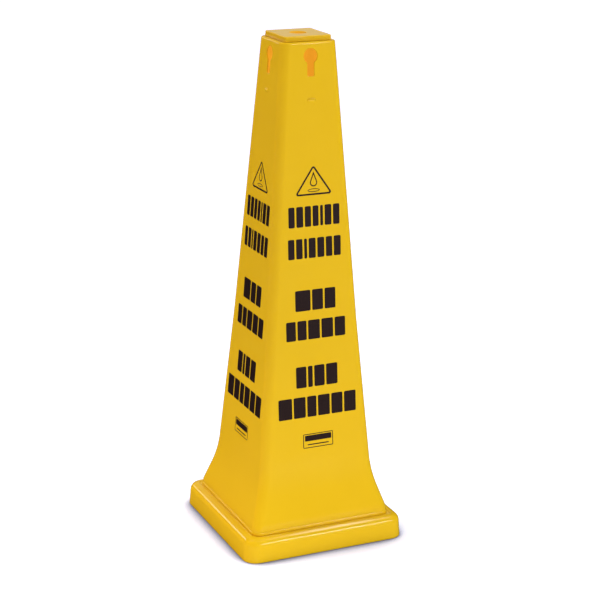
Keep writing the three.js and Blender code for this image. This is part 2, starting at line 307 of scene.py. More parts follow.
# Heights of the rings on the tapers. The keyholes and pips sit between two of these pairs.
PIP_PATCH = (786 * MM, 832 * MM)
KEYHOLE_PATCH = (838 * MM, 899 * MM)
TAPER_HEIGHTS = [200 * MM, 260 * MM, 330 * MM, KINK_HEIGHT, 480 * MM, 560 * MM, 640 * MM, 720 * MM]
TAPER_HEIGHTS += [*PIP_PATCH, *KEYHOLE_PATCH]
PIP_COLUMNS = range(2, 6)
KEYHOLE_COLUMNS = range(1, 7)


def front_point(sideways, z, depth=0.0):
    """A point on the front face's upper taper, or that deep in its wall, square to the face."""
    return Vector((
        sideways,
        -shell_half(z) + depth * math.cos(UPPER_ANGLE),
        z - depth * math.sin(UPPER_ANGLE),
    ))


def keyhole_outline(grow):
    """The keyhole's outline, grown by some distance: (sideways, height) pairs, anticlockwise."""
    neck_x = SLOT_HALF + KEYHOLE_NECK_ROUND
    neck_reach = KEYHOLE_RADIUS + KEYHOLE_NECK_ROUND
    neck_drop = math.sqrt(neck_reach**2 - neck_x**2)
    neck_angle = math.atan2(-neck_drop, neck_x)
    slot_drop = KEYHOLE_CENTRE - SLOT_BOTTOM

    def arc(centre_x, centre_z, radius, start, end, steps):
        for step in range(steps + 1):
            angle = start + (end - start) * step / steps
            yield centre_x + radius * math.cos(angle), KEYHOLE_CENTRE + centre_z + radius * math.sin(angle)

    points = list(arc(0, 0, KEYHOLE_RADIUS + grow, neck_angle, math.pi - neck_angle, KEYHOLE_STEPS))
    points += arc(-neck_x, -neck_drop, KEYHOLE_NECK_ROUND - grow, -neck_angle, 0, SMALL_EDGE_STEPS)
    corner_x = SLOT_HALF - SLOT_ROUND
    corner_z = SLOT_ROUND - slot_drop
    points += arc(-corner_x, corner_z, SLOT_ROUND + grow, math.pi, 1.5 * math.pi, EDGE_STEPS)
    points += arc(corner_x, corner_z, SLOT_ROUND + grow, -math.pi / 2, 0, EDGE_STEPS)
    points += arc(
        neck_x, -neck_drop, KEYHOLE_NECK_ROUND - grow, math.pi, math.pi + neck_angle, SMALL_EDGE_STEPS
    )
    return points


def keyhole_rings():
    """Outlines through the wall, with a rounded edge outside and inside."""
    thickness = WALL * math.cos(UPPER_ANGLE)
    edge = KEYHOLE_EDGE_ROUND
    outer = [(edge * (1 - sine), edge * rise) for sine, rise in quarter()]
    inner = [(grow, thickness - depth) for grow, depth in reversed(outer)]
    return [[front_point(x, z, depth) for x, z in keyhole_outline(grow)] for grow, depth in outer + inner]


def pip_rings(centre):
    """Ovals up a low dome, from its soft foot to near its middle."""
    rings = []
    for step in range(PIP_RINGS):
        share = step / PIP_RINGS
        soft_foot = min(1, PIP_FOOT_START + share * PIP_FOOT_SLOPE)
        height = PIP_HEIGHT * (1 - (1 - share) ** PIP_FULLNESS) * soft_foot
        shrink = PIP_HALF_RISE * share
        ring = []
        for i in range(PIP_STEPS):
            angle = 2 * math.pi * i / PIP_STEPS
            sideways = (PIP_HALF_WIDTH - shrink) * math.cos(angle)
            ring.append(front_point(sideways, centre + (PIP_HALF_RISE - shrink) * math.sin(angle), -height))
        rings.append(ring)
    return rings


def loop_edges(bm, loop):
    """The edges round a closed loop of vertices."""
    return [bm.edges.get((loop[i], loop[(i + 1) % len(loop)])) for i in range(len(loop))]


def gap_edges(bm, rings, gap, side):
    """The edges round the gap left in a grid of rings, on one side."""
    columns, low, high = gap
    per_side = STRAIGHT_STEPS + CORNER_STEPS
    first = side * per_side + columns[0]
    last = side * per_side + columns[-1] + 1
    loop = [rings[low][i] for i in range(first, last + 1)]
    loop += [rings[high][i] for i in range(last, first - 1, -1)]
    return loop_edges(bm, loop)


def skin(bm, levels, patches):
    """Rings joined up a skin, leaving a gap on every side for each patch: (columns, low z, high z)."""
    rings = add_rings(bm, [square_ring(*level) for level in levels])
    heights = [level[0] for level in levels]
    per_side = STRAIGHT_STEPS + CORNER_STEPS
    gaps = [(columns, heights.index(low), heights.index(high)) for columns, low, high in patches]
    for i in range(len(rings) - 1):
        here = [columns for columns, low, high in gaps if low <= i < high]
        bridge(bm, rings[i], rings[i + 1], lambda column: any(column % per_side in c for c in here))
    return rings, gaps


def fill_gap(bm, rings, gap, side, loop):
    """Faces between a gap and a loop of vertices that lies in it."""
    edges = gap_edges(bm, rings, gap, side) + loop_edges(bm, loop)
    bmesh.ops.triangle_fill(bm, use_beauty=True, use_dissolve=False, edges=edges)


def outer_levels():
    """The outer skin, from the foot up to the edge of the shoulder: (height, half-width, corner)."""
    levels = [
        (FOOT_BOTTOM, FOOT_HALF - FOOT_BEVEL, SHELL_CORNER),
        (FOOT_BOTTOM + FOOT_BEVEL, FOOT_HALF, SHELL_CORNER),
    ]
    for sine, rise in quarter():
        inset = COLLAR_STEP * rise
        levels.append((COLLAR_TOP - COLLAR_STEP * (1 - sine), FOOT_HALF - inset, SHELL_CORNER - inset))
    levels += [(z, shell_half(z), SHELL_CORNER) for z in flare_heights() + TAPER_HEIGHTS]
    edge_half = shell_half(SHOULDER_HEIGHT - SHOULDER_ROUND)
    for sine, rise in quarter():
        inset = SHOULDER_ROUND * rise
        z = SHOULDER_HEIGHT - SHOULDER_ROUND + SHOULDER_ROUND * sine
        levels.append((z, edge_half - inset, SHELL_CORNER - inset))
    return levels


def neck_levels():
    """Round the square opening in the shoulder, from its top edge to its underside."""
    return [
        (SHOULDER_HEIGHT, NECK_OPENING + NECK_BEVEL, NECK_CORNER),
        (SHOULDER_HEIGHT - NECK_BEVEL, NECK_OPENING, NECK_CORNER),
        (SHOULDER_HEIGHT - WALL + NECK_BEVEL, NECK_OPENING, NECK_CORNER),
        (SHOULDER_HEIGHT - WALL, NECK_OPENING + NECK_BEVEL, NECK_CORNER),
    ]


def inner_levels():
    """The inner skin, from the ceiling under the shoulder down to the foot."""
    corner = SHELL_CORNER - WALL
    top = SHOULDER_HEIGHT - WALL
    levels = [
        (top, shell_half(top) - WALL - CEILING_BEVEL_WIDTH, corner - CEILING_BEVEL_WIDTH),
        (top - CEILING_BEVEL_DROP, shell_half(top) - WALL, corner),
    ]
    levels += [(z, shell_half(z) - WALL, corner) for z in reversed(flare_heights() + TAPER_HEIGHTS)]
    levels.append((COLLAR_TOP - WALL, FOOT_HALF - WALL, corner))
    levels.append((FOOT_BOTTOM + FOOT_BEVEL, FOOT_HALF - WALL, corner))
    levels.append((FOOT_BOTTOM, FOOT_HALF - WALL + FOOT_BEVEL, corner))
    return levels


def add_bosses(bm):
    """Four tubes in the corners of the foot, which the corner screws go up into."""
    for side in range(SIDES):
        centre = turned((BOSS_DIAGONAL, 0, 0), side + 0.5)
        rings = []
        for radius, z in (
            (BOSS_RADIUS, FOOT_BOTTOM),
            (BOSS_RADIUS, BOSS_TOP),
            (BOSS_BORE_RADIUS, BOSS_TOP),
            (BOSS_BORE_RADIUS, FOOT_BOTTOM),
        ):
            circle = [2 * math.pi * i / BOSS_STEPS for i in range(BOSS_STEPS)]
            rings.append([centre + Vector((radius * math.cos(a), radius * math.sin(a), z)) for a in circle])
        closed_profile(bm, rings)


def in_shell_hollow(point, wall_share=0.9):
    """Whether a point is on the inner skin, which is nearly a wall's thickness deep."""
    depth = depth_inside(point, shell_half(point.z), SHELL_CORNER)
    return depth > wall_share * WALL and point.z < SHOULDER_HEIGHT - WALL / 2


def build_shell(outside, inside):
    """Both skins of the shell, with the keyholes, the pips and the bosses."""
    bm = bmesh.new()
    patches = [(PIP_COLUMNS, *PIP_PATCH), (KEYHOLE_COLUMNS, *KEYHOLE_PATCH)]
    outer, outer_gaps = skin(bm, outer_levels(), patches)
    neck = add_rings(bm, [square_ring(*level) for level in neck_levels()])
    bridge(bm, outer[-1], neck[0])
    for lower, upper in zip(neck, neck[1:]):
        bridge(bm, lower, upper)
    high_first = [(KEYHOLE_COLUMNS, KEYHOLE_PATCH[1], KEYHOLE_PATCH[0])]
    inner, inner_gaps = skin(bm, inner_levels(), high_first)
    bridge(bm, neck[-1], inner[0])
    bridge(bm, inner[-1], outer[0])
    for side in range(SIDES):
        hole = add_rings(bm, [[turned(p, side) for p in ring] for ring in keyhole_rings()])
        for a, b in zip(hole, hole[1:]):
            bridge(bm, a, b)
        fill_gap(bm, outer, outer_gaps[1], side, hole[0])
        fill_gap(bm, inner, inner_gaps[0], side, hole[-1])
        centre = PIP_CENTRE if side % 2 == 0 else SIDE_PIP_CENTRE
        dome = add_rings(bm, [[turned(p, side) for p in ring] for ring in pip_rings(centre)])
        for a, b in zip(dome, dome[1:]):
            bridge(bm, a, b)
        bm.faces.new(dome[-1])
        fill_gap(bm, outer, outer_gaps[0], side, dome[0])
    add_bosses(bm)
    # The hollow's faces get the second material, the one with the painted orange tone and painted glow
    mark_inside(bm, in_shell_hollow)
    piece = finish_mesh(
        "cone_shell_skin", bm, (outside, inside), replaced=("cone_shell",)
    )
    keep_flats_flat(piece)
    return piece


# Base frame


def rim_levels():
    """Up the outside of the base, over its rim and in along its ledge: (height, half-width, corner)."""
    rim_half = BASE_HALF - BASE_DRAFT
    levels = []
    for sine, rise in quarter():
        inset = BOTTOM_ROUND * (1 - sine)
        levels.append((BOTTOM_ROUND * rise, BASE_HALF - inset, BASE_CORNER - inset))
    for sine, rise in quarter(RIM_STEPS):
        inset = RIM_ROUND * rise
        levels.append((RIM_HEIGHT - RIM_ROUND + RIM_ROUND * sine, rim_half - inset, BASE_CORNER - inset))
    crest_inner = rim_half - RIM_ROUND - RIM_FLAT
    crest_corner = BASE_CORNER - RIM_ROUND - RIM_FLAT
    for step in range(LEDGE_STEPS + 1):
        share = step / LEDGE_STEPS
        fall = (1 - math.cos(math.pi * share)) / 2
        inset = LEDGE_STEP * share
        levels.append((RIM_HEIGHT - LEDGE_DROP * fall, crest_inner - inset, crest_corner - inset))
    levels.append((LEDGE_HEIGHT, FOOT_HALF - WALL, SHELL_CORNER))
    return levels


def lip_levels():
    """Over the opening's edge, down the lip, round its end and up to the underside of the ledge."""
    levels = []
    for sine, rise in quarter():
        half = OPENING_HALF + LIP_ROUND * (1 - sine)
        levels.append((LEDGE_HEIGHT - LIP_ROUND * rise, half, OPENING_CORNER))
    for sine, rise in quarter():
        half = OPENING_HALF + LIP_ROUND * rise
        levels.append((LIP_BOTTOM + LIP_ROUND * (1 - sine), half, OPENING_CORNER))
    for sine, rise in quarter():
        half = LIP_OUTSIDE - LIP_ROUND * (1 - sine)
        levels.append((LIP_BOTTOM + LIP_ROUND * rise, half, OPENING_CORNER + WALL))
    levels.append((LEDGE_UNDERSIDE, LIP_OUTSIDE, OPENING_CORNER + WALL))
    return levels


def underside_levels():
    """Out along the underside of the ledge and down the inside of the base's outer wall."""
    corner = BASE_CORNER - BASE_WALL
    return [
        (LEDGE_UNDERSIDE, UNDERSIDE_EDGE, corner - UNDERSIDE_BEVEL / 2),
        (RIM_HEIGHT - UNDERSIDE_BEVEL, BASE_INSIDE - BASE_DRAFT, corner),
        (FINE_BEVEL, BASE_INSIDE, corner),
        (0, BASE_INSIDE + FINE_BEVEL, corner),
    ]


def add_webs(bm, side):
    """Shallow upright webs under the ledge, whose ends go a little into the lip and the outer wall."""
    inner = LIP_OUTSIDE - WEB_SINK
    low_end = (LIP_BOTTOM, WEB_LOW_HALF, BASE_INSIDE + WEB_LOW_SINK)
    top_end = (LEDGE_UNDERSIDE + WEB_SINK, WALL / 2, UNDERSIDE_EDGE + WEB_SINK)
    for i in range(WEBS_PER_SIDE):
        middle = (i - (WEBS_PER_SIDE - 1) / 2) * WEB_SPACING
        corners = []
        for z, half_width, outer in (low_end, top_end):
            for x, y in ((-1, -outer), (1, -outer), (1, -inner), (-1, -inner)):
                corners.append(turned((middle + x * half_width, y, z), side))
        box_faces(bm, corners)


def build_base(outside):
    """The tray under the shell: its rim, ledge, lip and outer wall, and the webs under the ledge."""
    bm = bmesh.new()
    levels = rim_levels() + lip_levels() + underside_levels()
    closed_profile(bm, [square_ring(*level) for level in levels])
    for side in range(SIDES):
        add_webs(bm, side)
    piece = finish_mesh("base_frame_skin", bm, (outside,), replaced=("base_frame",))
    keep_flats_flat(piece)
    return piece


# Cap


def plate_rings():
    """Up the outside of the cap, over its edge, and down through its hole."""
    edge = FINE_BEVEL
    rings = [
        square_ring(CAP_BOTTOM, CAP_HALF - edge, CAP_CORNER),
        square_ring(CAP_BOTTOM + edge, CAP_HALF, CAP_CORNER),
    ]
    for sine, rise in quarter(BAND_STEPS):
        z = CAP_BOTTOM + CAP_BAND_HEIGHT - CAP_BAND_STEP * (1 - sine)
        rings.append(square_ring(z, CAP_HALF - CAP_BAND_STEP * rise, CAP_CORNER))
    for sine, rise in quarter():
        inset = CAP_EDGE_ROUND * rise
        z = CAP_TOP - CAP_EDGE_ROUND * (1 - sine)
        rings.append(square_ring(z, CAP_PLATE_HALF - inset, CAP_CORNER - inset))
    for sine, rise in quarter():
        rings.append(round_ring(CAP_TOP - edge * rise, CAP_HOLE_RADIUS + edge * (1 - sine)))
    for sine, rise in quarter(HOLE_EDGE_STEPS):
        rings.append(round_ring(CAP_CEILING + edge * (1 - sine), CAP_HOLE_RADIUS + edge * rise))
    return rings


def skirt_rings():
    """From the ceiling down and up round the skirt, then down the inside of the cap's outer wall."""
    edge = FINE_BEVEL
    skirt_inside = SKIRT_HALF - SKIRT_WALL
    wall_inside = CAP_PLATE_HALF - WALL
    inner_corner = CAP_CORNER / 2
    return [
        square_ring(CAP_CEILING, skirt_inside, inner_corner),
        square_ring(CAP_LOW.z + edge, skirt_inside, inner_corner),
        square_ring(CAP_LOW.z, skirt_inside + edge, inner_corner),
        square_ring(CAP_LOW.z, SKIRT_HALF - edge, CAP_CORNER),
        square_ring(CAP_LOW.z + edge, SKIRT_HALF, CAP_CORNER),
        square_ring(CAP_CEILING, SKIRT_HALF, CAP_CORNER),
        square_ring(CAP_CEILING, wall_inside, inner_corner),
        square_ring(CAP_BOTTOM, wall_inside, inner_corner),
    ]


def add_hook(bm, side):
    """A wedge on the skirt that snaps under the shoulder."""
    root = SKIRT_HALF - SKIRT_WALL / 2
    top = SHOULDER_HEIGHT - WALL - CAP_GAP
    low = CAP_LOW.z + FINE_BEVEL
    half_width = HOOK_WIDTH / 2
    corners = []
    for z, reach in ((low, SKIRT_HALF + HOOK_LOW_REACH), (top, SKIRT_HALF + HOOK_REACH)):
        for x, y in ((-half_width, -reach), (half_width, -reach), (half_width, -root), (-half_width, -root)):
            corners.append(turned((x, y, z), side))
    box_faces(bm, corners)


def in_cap_hollow(point):
    """Whether a point is under the cap's top and inside its wall."""
    depth = depth_inside(point, CAP_PLATE_HALF, CAP_CORNER)
    return depth > WALL / 2 and point.z < CAP_TOP - WALL / 2


def build_cap(outside, inside):
    """A stepped plate with a round hole, a skirt that drops into the neck, and snap hooks."""
    bm = bmesh.new()
    closed_profile(bm, plate_rings() + skirt_rings())
    for side in range(SIDES):
        add_hook(bm, side)
    # The cap's hollow faces get the second material, the one with the painted orange tone and painted glow
    mark_inside(bm, in_cap_hollow)
    piece = finish_mesh("top_cap_skin", bm, (outside, inside), replaced=("top_cap",))
    keep_flats_flat(piece)
    return piece


# Printed marks: plain blocks where the words are, a drop in a triangle, and a blank nameplate


def face_point(sideways, z, lift, side, step=1 * MM):
    """A point over one side of the shell, at a distance out from its surface."""
    angle = math.atan2(shell_half(z - step) - shell_half(z), step)
    out = -shell_half(z) - lift * math.cos(angle)
    return turned((sideways, out, z + lift * math.sin(angle)), side)


def rounded_polygon(corners, radius, steps=6):
    """A convex anticlockwise outline with round corners."""
    points = []
    count = len(corners)
    for i in range(count):
        before, here, after = (Vector(corners[(i + k) % count]) for k in (-1, 0, 1))
        toward = (before - here).normalized()
        away = (after - here).normalized()
        half_angle = toward.angle(away) / 2
        centre = here + (toward + away).normalized() * (radius / math.sin(half_angle))
        start = here + toward * (radius / math.tan(half_angle)) - centre
        end = here + away * (radius / math.tan(half_angle)) - centre
        turn = start.angle_signed(end)
        for step in range(steps + 1):
            points.append(centre + Matrix.Rotation(-turn * step / steps, 2) @ start)
    return points


def grown_triangle(apex_z, base_z, half_width, grow):
    """Corners of an upright triangle whose sides are moved out by some distance."""
    slant = math.atan2(apex_z - base_z, half_width)
    top = apex_z + grow / math.cos(slant)
    side = half_width + grow / math.tan(slant / 2)
    return [(0, top), (-side, base_z - grow), (side, base_z - grow)]


def drop_outline(tip_z, belly_z, radius, grow, steps=24):
    """A water drop, tip up: two straight flanks that meet a round belly."""
    flank = math.asin(radius / (tip_z - belly_z))
    grown = radius + grow
    points = [Vector((0, belly_z + grown / math.sin(flank)))]
    for step in range(steps + 1):
        angle = math.pi - flank + (math.pi + 2 * flank) * step / steps
        points.append(Vector((grown * math.cos(angle), belly_z + grown * math.sin(angle))))
    return points


def ellipse_outline(centre_z, half_width, half_height, steps=28):
    """An oval as (sideways, height) points, anticlockwise."""
    angles = [2 * math.pi * i / steps for i in range(steps)]
    return [Vector((half_width * math.cos(a), centre_z + half_height * math.sin(a))) for a in angles]


def rectangle(left, right, low, high):
    """The four corners of a rectangle, anticlockwise."""
    return [(left, low), (right, low), (right, high), (left, high)]


class Print:
    """Flat outlines in (sideways, height), which become thin films on one side of the shell."""

    def __init__(self, bm, side, shift):
        self.bm = bm
        self.side = side
        self.shift = shift

    def vertex(self, point, lift):
        """A vertex over the shell, that far out from it."""
        return self.bm.verts.new(face_point(point[0] + self.shift, point[1], lift, self.side))

    def band(self, outer, inner):
        """The film between two outlines with the same number of points."""
        rings = [
            [self.vertex(p, -INK_SINK) for p in outer],
            [self.vertex(p, INK_LIFT) for p in outer],
            [self.vertex(p, INK_LIFT) for p in inner],
            [self.vertex(p, -INK_SINK) for p in inner],
        ]
        for i, ring in enumerate(rings):
            bridge(self.bm, ring, rings[(i + 1) % len(rings)])

    def block(self, left, right, low, high, radius):
        """A rounded rectangle, cut into rows so that it follows the shell's kink."""
        rows = []
        for sine, rise in quarter(SMALL_EDGE_STEPS):
            rows.append((low + radius * rise, radius * (1 - sine)))
        for sine, rise in quarter(SMALL_EDGE_STEPS):
            rows.append((high - radius * (1 - sine), radius * rise))
        if low + radius < KINK_HEIGHT < high - radius:
            rows.append((KINK_HEIGHT, 0))
        rows.sort()
        strips = []
        for z, inset in rows:
            span = ((left + inset, z), (right - inset, z))
            strips.append([self.vertex(p, lift) for lift in (INK_LIFT, -INK_SINK) for p in span])
        for below, above in zip(strips, strips[1:]):
            top_left, top_right, sunk_left, sunk_right = range(4)
            for a, b in (
                (top_left, top_right),
                (top_right, sunk_right),
                (sunk_right, sunk_left),
                (sunk_left, top_left),
            ):
                self.bm.faces.new((below[a], below[b], above[b], above[a]))
        for strip in (strips[0], strips[-1]):
            self.bm.faces.new((strip[0], strip[1], strip[3], strip[2]))


# Each line of blocks: lowest and highest edge, half its length, and the blocks' relative widths
BLOCK_LINES = [
    (586.5 * MM, 622.8 * MM, 49.0 * MM, (1.0, 1.1, 1.0, 0.95, 0.45, 1.1, 1.05)),
    (530.5 * MM, 566.0 * MM, 50.7 * MM, (1.0, 1.0, 0.45, 1.1, 1.1, 1.0, 1.1)),
    (436.5 * MM, 473.8 * MM, 39.0 * MM, (1.4, 1.0, 1.0)),
    (384.0 * MM, 419.0 * MM, 57.5 * MM, (0.9, 0.85, 1.1, 1.1, 1.0)),
    (297.0 * MM, 335.6 * MM, 40.5 * MM, (1.0, 0.45, 1.0, 1.1)),
    (242.0 * MM, 280.0 * MM, 76.0 * MM, (1.25, 1.1, 0.85, 1.1, 1.05, 1.1)),
]
BLOCK_GAP = 3.2 * MM
BLOCK_ROUND = 2.4 * MM
PRINT_SHIFT = 1.5 * MM

TRIANGLE_APEX = 694.5 * MM
TRIANGLE_BASE = 641.5 * MM
TRIANGLE_HALF = 36.5 * MM
TRIANGLE_STROKE = 3 * MM
TRIANGLE_ROUND = 2.2 * MM
DROP_TIP = 683 * MM
DROP_BELLY = 663.5 * MM
DROP_RADIUS = 7 * MM
DROP_STROKE = 2 * MM
PUDDLE_HEIGHT = 650 * MM
PUDDLE_HALF = 11.5 * MM
PUDDLE_RISE = 3 * MM
PUDDLE_STROKE = 1.6 * MM
PUDDLE_STROKE_FLATTENING = 0.75

PLATE_LOW = 184 * MM
PLATE_HIGH = 210.5 * MM
PLATE_HALF = 29.5 * MM
PLATE_STROKE = 1.4 * MM
PLATE_ROUND = 2 * MM
PLATE_INNER_ROUND = 1 * MM
PLATE_BAR_LOW = 197 * MM
PLATE_BAR_HIGH = PLATE_HIGH - 3 * MM
PLATE_BAR_HALF = 26 * MM
PLATE_BAR_ROUND = 1.5 * MM
PLATE_LINE_LOW = 189.3 * MM
PLATE_LINE_HIGH = 191.3 * MM
PLATE_LINE_HALF = 21 * MM
PLATE_LINE_ROUND = 0.8 * MM


def print_blocks(film):
    """A row of plain blocks for each line of words."""
    for low, high, half_length, widths in BLOCK_LINES:
        room = 2 * half_length - BLOCK_GAP * (len(widths) - 1)
        left = -half_length
        for width in widths:
            right = left + room * width / sum(widths)
            film.block(left, right, low, high, BLOCK_ROUND)
            left = right + BLOCK_GAP


def print_triangle(film):
    """A drop over a puddle, in a triangle."""
    shape = (TRIANGLE_APEX, TRIANGLE_BASE, TRIANGLE_HALF)
    inner = grown_triangle(*shape, -TRIANGLE_STROKE)
    film.band(
        rounded_polygon(grown_triangle(*shape, 0), TRIANGLE_ROUND + TRIANGLE_STROKE / 2),
        rounded_polygon(inner, TRIANGLE_ROUND / 2),
    )
    drop = (DROP_TIP, DROP_BELLY, DROP_RADIUS)
    film.band(drop_outline(*drop, 0), drop_outline(*drop, -DROP_STROKE))
    inner_rise = PUDDLE_RISE - PUDDLE_STROKE * PUDDLE_STROKE_FLATTENING
    film.band(
        ellipse_outline(PUDDLE_HEIGHT, PUDDLE_HALF, PUDDLE_RISE),
        ellipse_outline(PUDDLE_HEIGHT, PUDDLE_HALF - PUDDLE_STROKE, inner_rise),
    )


def print_nameplate(film):
    """A plain frame with one bar and one thin line in it."""
    inset = PLATE_STROKE
    outer = rectangle(-PLATE_HALF, PLATE_HALF, PLATE_LOW, PLATE_HIGH)
    inner = rectangle(-PLATE_HALF + inset, PLATE_HALF - inset, PLATE_LOW + inset, PLATE_HIGH - inset)
    film.band(rounded_polygon(outer, PLATE_ROUND), rounded_polygon(inner, PLATE_INNER_ROUND))
    film.block(-PLATE_BAR_HALF, PLATE_BAR_HALF, PLATE_BAR_LOW, PLATE_BAR_HIGH, PLATE_BAR_ROUND)
    film.block(-PLATE_LINE_HALF, PLATE_LINE_HALF, PLATE_LINE_LOW, PLATE_LINE_HIGH, PLATE_LINE_ROUND)


def build_prints(material):
    """One film of ink on each side, as one piece."""
    for side, name in enumerate(("front", "right", "back", "left")):
        bm = bmesh.new()
        film = Print(bm, side, PRINT_SHIFT)
        print_triangle(film)
        print_blocks(film)
        print_nameplate(film)
        finish_mesh(f"print_{name}", bm, (material,), smooth=False)


# Materials


def new_material(name):
    """A material with its nodes, its links and its Principled shader."""
    material = bpy.data.materials.new(name)
    material.use_nodes = True
    nodes = material.node_tree.nodes
    return material, nodes, material.node_tree.links, nodes["Principled BSDF"]


def noise(nodes, links, coordinates, scale, detail=2, roughness=0.5):
    """A soft 0 to 1 pattern. The scale is in spots per metre."""
    node = nodes.new("ShaderNodeTexNoise")
    node.inputs["Scale"].default_value = scale
    node.inputs["Detail"].default_value = detail
    node.inputs["Roughness"].default_value = roughness
    links.new(coordinates, node.inputs["Vector"])
    return node.outputs["Fac"]


def mapped(nodes, links, value, low, high):
    """A 0 to 1 value, spread from low to high."""
    node = nodes.new("ShaderNodeMapRange")
    node.inputs["To Min"].default_value = low
    node.inputs["To Max"].default_value = high
    links.new(value, node.inputs["Value"])
    return node.outputs["Result"]


def spread(nodes, links, value, start, end, interpolation="LINEAR"):
    """A value, turned into a share that is 0 at the start and 1 at the end."""
    node = nodes.new("ShaderNodeMapRange")
    node.interpolation_type = interpolation
    node.inputs["From Min"].default_value = start
    node.inputs["From Max"].default_value = end
    links.new(value, node.inputs["Value"])
    return node.outputs["Result"]


def bump(nodes, links, height, distance, under=None):
    """Normals for a 0 to 1 height pattern of some depth, on top of other normals if there are any."""
    node = nodes.new("ShaderNodeBump")
    node.inputs["Distance"].default_value = distance
    node.inputs["Strength"].default_value = 1
    links.new(height, node.inputs["Height"])
    if under:
        links.new(under, node.inputs["Normal"])
    return node.outputs["Normal"]


def blended(nodes, links, share, first, second):
    """A colour between two others, as a 0 to 1 share says."""
    node = nodes.new("ShaderNodeMix")
    node.data_type = "RGBA"
    links.new(share, node.inputs["Factor"])
    node.inputs["A"].default_value = (*first, 1)
    node.inputs["B"].default_value = (*second, 1)
    return node.outputs["Result"]


def object_coordinates(nodes):
    """Places on the piece, in metres."""
    return nodes.new("ShaderNodeTexCoord").outputs["Object"]


def moulded_yellow(name, first, second):
    """Glossy moulded plastic: faint tone drift, fine orange peel, and panels that aren't quite flat."""
    material, nodes, links, shader = new_material(name)
    where = object_coordinates(nodes)
    drift = noise(nodes, links, where, scale=7, detail=3)
    links.new(blended(nodes, links, drift, first, second), shader.inputs["Base Color"])
    patches = noise(nodes, links, where, scale=45, detail=4, roughness=0.6)
    links.new(mapped(nodes, links, patches, low=0.1, high=0.16), shader.inputs["Roughness"])
    shader.inputs["IOR"].default_value = 1.49
    panels = noise(nodes, links, where, scale=16, detail=1)
    wave = bump(nodes, links, panels, distance=0.35 * MM)
    orange_peel = noise(nodes, links, where, scale=700)
    peel = bump(nodes, links, orange_peel, distance=0.012 * MM, under=wave)
    links.new(peel, shader.inputs["Normal"])
    return material


def outside_yellow():
    """The plastic as seen from outside."""
    return moulded_yellow("outside_yellow", first=(0.77, 0.49, 0.009), second=(0.83, 0.535, 0.013))


def inside_painted_glow():
    """The same plastic seen from the hollow, painted a little more orange and given a weak painted glow,
    both standing in for the light through its thin wall.
    """
    # Painted light: a more orange base colour than outside, for the light that comes through the wall
    material = moulded_yellow("inside_painted_glow", first=(0.80, 0.45, 0.01), second=(0.86, 0.50, 0.014))
    shader = material.node_tree.nodes["Principled BSDF"]
    # Painted glow: this emission stands in for light through the wall, since the plastic is no lamp
    shader.inputs["Emission Color"].default_value = (1.0, 0.75, 0.08, 1)
    shader.inputs["Emission Strength"].default_value = 0.22
    return material


def printed_ink():
    """Screen-printed ink: near-black brown, a little uneven in tone and shine."""
    material, nodes, links, shader = new_material("printed_ink")
    where = object_coordinates(nodes)
    speckle = noise(nodes, links, where, scale=260, detail=4, roughness=0.7)
    colour = blended(nodes, links, speckle, first=(0.012, 0.005, 0.005), second=(0.034, 0.014, 0.012))
    links.new(colour, shader.inputs["Base Color"])
    links.new(mapped(nodes, links, speckle, low=0.45, high=0.6), shader.inputs["Roughness"])
    shader.inputs["Specular IOR Level"].default_value = 0.25
    links.new(bump(nodes, links, speckle, distance=0.02 * MM), shader.inputs["Normal"])
    return material


def zinc_steel():
    """Zinc-plated screw steel: fine grain and a slightly cloudy shine."""
    material, nodes, links, shader = new_material("zinc_steel")
    where = object_coordinates(nodes)
    cloud = noise(nodes, links, where, scale=900, detail=3)
    colour = blended(nodes, links, cloud, first=(0.42, 0.43, 0.44), second=(0.56, 0.57, 0.58))
    links.new(colour, shader.inputs["Base Color"])
    links.new(mapped(nodes, links, cloud, low=0.25, high=0.45), shader.inputs["Roughness"])
    shader.inputs["Metallic"].default_value = 1
    grain = noise(nodes, links, where, scale=2500)
    links.new(bump(nodes, links, grain, distance=0.02 * MM), shader.inputs["Normal"])
    return material


def studio_floor_material():
    """White floor that glows a little, with a soft bluish shade where something stands close to it."""
    material, nodes, links, shader = new_material("studio_floor")
    nearby = nodes.new("ShaderNodeAmbientOcclusion")
    nearby.inputs["Distance"].default_value = 75 * MM
    openness = spread(nodes, links, nearby.outputs["AO"], start=0.45, end=0.9, interpolation="SMOOTHSTEP")
    colour = blended(nodes, links, openness, first=(0.13, 0.16, 0.27), second=(0.9, 0.92, 0.97))
    links.new(colour, shader.inputs["Base Color"])
    glow = blended(nodes, links, openness, first=(0.01, 0.015, 0.04), second=(0.25, 0.27, 0.38))
    links.new(glow, shader.inputs["Emission Color"])
    shader.inputs["Emission Strength"].default_value = 1
    shader.inputs["Roughness"].default_value = 0.9
    shader.inputs["Specular IOR Level"].default_value = 0.1
    return material


# Stage

CAMERA_AZIMUTH = math.radians(-24.36)
CAMERA_DISTANCE = 2.954
CAMERA_HEIGHT = 1.3533
CAMERA_PITCH = math.radians(17.193)
CAMERA_ROLL = math.radians(0.648)
CAMERA_LENS = 104.29
CAMERA_SENSOR = 36
FLOOR_REACH = 40
SUN_SPREAD = math.radians(30)


